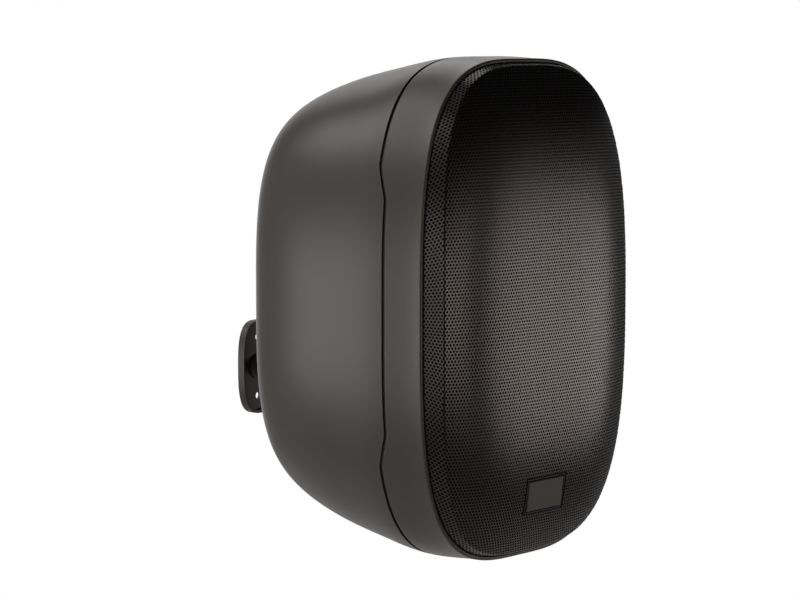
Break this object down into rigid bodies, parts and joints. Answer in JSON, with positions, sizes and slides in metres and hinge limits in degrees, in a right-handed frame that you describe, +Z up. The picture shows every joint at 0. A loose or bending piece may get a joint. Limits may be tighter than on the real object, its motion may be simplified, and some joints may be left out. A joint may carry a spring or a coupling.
{
  "type": "outdoor wall speaker",
  "caption": "Weatherproof two-way wall loudspeaker in a tapered moulded cabinet with a domed perforated grille, held off the wall by a ball joint bracket.",
  "frame": {"origin": "middle of the wall plate's back face, between its two screw holes", "axes": "+Y into the wall, so the grille faces -Y; +Z up; +X to the right seen from the front"},
  "size_m": [0.1719, 0.2217, 0.2704],
  "materials": {
    "cabinet_plastic": "fine moulded texture, warm dark grey, satin",
    "gasket_rubber": "soft black rubber",
    "grille_steel": "perforated sheet, dark satin powder coat",
    "weather_cloth": "black acoustic foam cloth",
    "badge_grey": "plain satin plate",
    "basket_steel": "black stamped steel",
    "cone_paper": "treated cone",
    "surround_rubber": "rubber half roll",
    "spider_cloth": "corrugated impregnated cloth",
    "copper_wire": "enamelled copper winding",
    "motor_steel": "zinc plated steel",
    "ferrite": "sintered ferrite",
    "dome_textile": "coated textile dome",
    "driver_plastic": "black moulded plastic",
    "circuit_board": "glass epoxy board",
    "capacitor_film": "wrapped film capacitor",
    "resistor_ceramic": "cement body",
    "lever_red": "red moulded lever",
    "lever_black": "black moulded lever",
    "screw_steel": "blackened stainless steel",
    "socket_nylon": "glass filled nylon",
    "liner_nylon": "natural nylon",
    "stem_steel": "black coated steel",
    "bracket_metal": "die cast, coated to match the cabinet"
  },
  "bodies": {
    "speaker": {"front_frame": "cabinet_plastic", "rear_shell": "cabinet_plastic", "seam_gasket": "gasket_rubber", "grille": "grille_steel", "grille_cloth": "weather_cloth", "badge_plate": "badge_grey", "cabinet_screws": "screw_steel", "woofer_basket": "basket_steel", "woofer_screws": "screw_steel", "woofer_surround": "surround_rubber", "spider": "spider_cloth", "top_plate": "motor_steel", "magnet": "ferrite", "pole_yoke": "motor_steel", "tweeter_faceplate": "driver_plastic", "tweeter_dome": "dome_textile", "tweeter_motor": "ferrite", "tweeter_screws": "screw_steel", "crossover_board": "circuit_board", "crossover_coils": "copper_wire", "crossover_capacitors": "capacitor_film", "crossover_resistors": "resistor_ceramic", "board_screws": "screw_steel", "terminal_cup": "driver_plastic", "terminal_block": "driver_plastic", "terminal_screws": "screw_steel", "socket_cup": "socket_nylon", "clamp_ring": "socket_nylon", "socket_screws": "screw_steel"},
    "cone": {"woofer_cone": "cone_paper", "dust_cap": "cone_paper", "voice_coil": "copper_wire"},
    "red_terminal": {"red_lever": "lever_red"},
    "black_terminal": {"black_lever": "lever_black"},
    "liner": {"ball_liner": "liner_nylon"},
    "stem": {"ball_stem": "stem_steel"},
    "bracket": {"wall_plate": "bracket_metal", "stem_collar": "bracket_metal"}
  },
  "joints": [
    {"name": "stem_turn", "type": "hinge", "parent": "bracket", "child": "stem", "pos_m": [0, -0.055, 0], "axis": [0, 1, 0], "range_deg": [-90, 90]},
    {"name": "ball_pan", "type": "hinge", "parent": "stem", "child": "liner", "pos_m": [0, -0.055, 0], "axis": [0, 0, 1], "range_deg": [-20, 20]},
    {"name": "ball_tilt", "type": "hinge", "parent": "liner", "child": "speaker", "pos_m": [0, -0.055, 0], "axis": [1, 0, 0], "range_deg": [-15, 20]},
    {"name": "cone_travel", "type": "slide", "parent": "speaker", "child": "cone", "axis": [0, 1, 0], "range_m": [-0.004, 0.004], "stiffness_N_per_m": 1900, "deforming": ["woofer_surround", "spider"]},
    {"name": "red_press", "type": "hinge", "parent": "speaker", "child": "red_terminal", "pos_m": [-0.0085, -0.06, 0.0859], "axis": [-1, 0, 0], "range_deg": [0, 18], "stiffness_Nm_per_rad": 0.05, "springref_deg": -17.19},
    {"name": "black_press", "type": "hinge", "parent": "speaker", "child": "black_terminal", "pos_m": [0.0085, -0.06, 0.0859], "axis": [-1, 0, 0], "range_deg": [0, 18], "stiffness_Nm_per_rad": 0.05, "springref_deg": -17.19}
  ]
}
